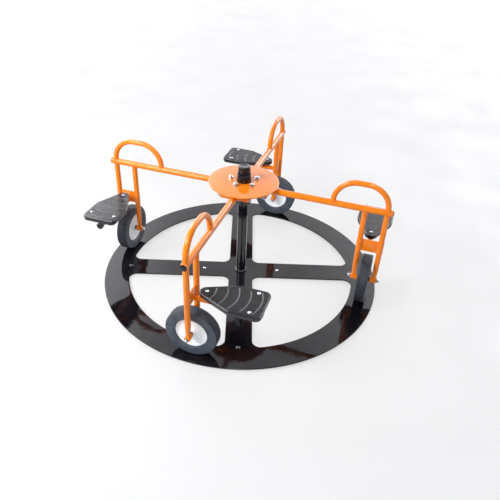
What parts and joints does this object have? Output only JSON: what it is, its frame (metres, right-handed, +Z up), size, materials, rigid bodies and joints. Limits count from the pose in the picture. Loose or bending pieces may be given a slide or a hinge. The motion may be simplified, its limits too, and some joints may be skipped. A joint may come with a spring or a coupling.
{
  "type": "merry go round",
  "caption": "Four-seat toddler merry go round: black ring base with cross and post, orange turning disc, four bent-tube arms, each with a wheel on the ring, a grab handle and a black seat.",
  "frame": {"origin": "centre of the base, on the floor under the rubber pads", "axes": "+Z up along the post, +X along one leg of the base's cross, +Y along the next leg"},
  "size_m": [1.3096, 1.3096, 0.554],
  "materials": {
    "orange_paint": "gloss",
    "gloss_black": "gloss",
    "cast_hub": "satin",
    "bearing_steel": "satin",
    "black_steel": "satin",
    "zinc": "satin",
    "black_plastic": "gloss",
    "seat_plastic": "satin",
    "white_plastic": "gloss",
    "black_rubber": "matte",
    "black_tyre": "matte"
  },
  "bodies": {
    "base": {"base_plate": "gloss_black", "base_pads": "black_rubber", "cross_screws": "zinc", "ring_screws": "black_steel", "centre_post": "gloss_black", "spindle": "bearing_steel", "lower_bearing_inner": "bearing_steel", "upper_bearing_inner": "bearing_steel", "spindle_washer": "zinc", "spindle_nut": "zinc"},
    "carousel": {"lower_bearing_outer": "bearing_steel", "upper_bearing_outer": "bearing_steel", "hub": "cast_hub", "hub_studs": "zinc", "hub_washers": "zinc", "hub_nuts": "zinc", "hub_cap": "black_plastic", "top_disc": "orange_paint", "arm_bolts": "zinc", "arm_bolt_nuts": "zinc", "axle_spacers": "black_plastic", "axle_nuts": "zinc", "seat_screws": "zinc", "arm_1": "orange_paint", "arm_2": "orange_paint", "arm_3": "orange_paint", "arm_4": "orange_paint", "arm_plug_1": "black_plastic", "arm_plug_2": "black_plastic", "arm_plug_3": "black_plastic", "arm_plug_4": "black_plastic", "seat_tube_cap_1": "black_plastic", "seat_tube_cap_2": "black_plastic", "seat_tube_cap_3": "black_plastic", "seat_tube_cap_4": "black_plastic", "axle_1": "zinc", "axle_2": "zinc", "axle_3": "zinc", "axle_4": "zinc", "seat_1": "seat_plastic", "seat_2": "seat_plastic", "seat_3": "seat_plastic", "seat_4": "seat_plastic"},
    "wheel_1": {"wheel_disc_1": "white_plastic", "tyre_1": "black_tyre", "wheel_bush_1": "black_plastic"},
    "wheel_2": {"wheel_disc_2": "white_plastic", "tyre_2": "black_tyre", "wheel_bush_2": "black_plastic"},
    "wheel_3": {"wheel_disc_3": "white_plastic", "tyre_3": "black_tyre", "wheel_bush_3": "black_plastic"},
    "wheel_4": {"wheel_disc_4": "white_plastic", "tyre_4": "black_tyre", "wheel_bush_4": "black_plastic"}
  },
  "joints": [
    {"name": "carousel_spin", "type": "hinge", "parent": "base", "child": "carousel", "pos_m": [0, 0, 0.44], "axis": [0, 0, 1], "continuous": true},
    {"name": "wheel_1_spin", "type": "hinge", "parent": "carousel", "child": "wheel_1", "pos_m": [0.16687, 0.51357, 0.1144], "axis": [0.309, 0.9511, 0], "continuous": true},
    {"name": "wheel_2_spin", "type": "hinge", "parent": "carousel", "child": "wheel_2", "pos_m": [-0.51357, 0.16687, 0.1144], "axis": [-0.9511, 0.309, 0], "continuous": true},
    {"name": "wheel_3_spin", "type": "hinge", "parent": "carousel", "child": "wheel_3", "pos_m": [-0.16687, -0.51357, 0.1144], "axis": [-0.309, -0.9511, 0], "continuous": true},
    {"name": "wheel_4_spin", "type": "hinge", "parent": "carousel", "child": "wheel_4", "pos_m": [0.51357, -0.16687, 0.1144], "axis": [0.9511, -0.309, 0], "continuous": true}
  ],
  "couplings": [
    {"joint": "wheel_1_spin", "follows": "carousel_spin", "ratio": -5.294},
    {"joint": "wheel_2_spin", "follows": "carousel_spin", "ratio": -5.294},
    {"joint": "wheel_3_spin", "follows": "carousel_spin", "ratio": -5.294},
    {"joint": "wheel_4_spin", "follows": "carousel_spin", "ratio": -5.294}
  ]
}
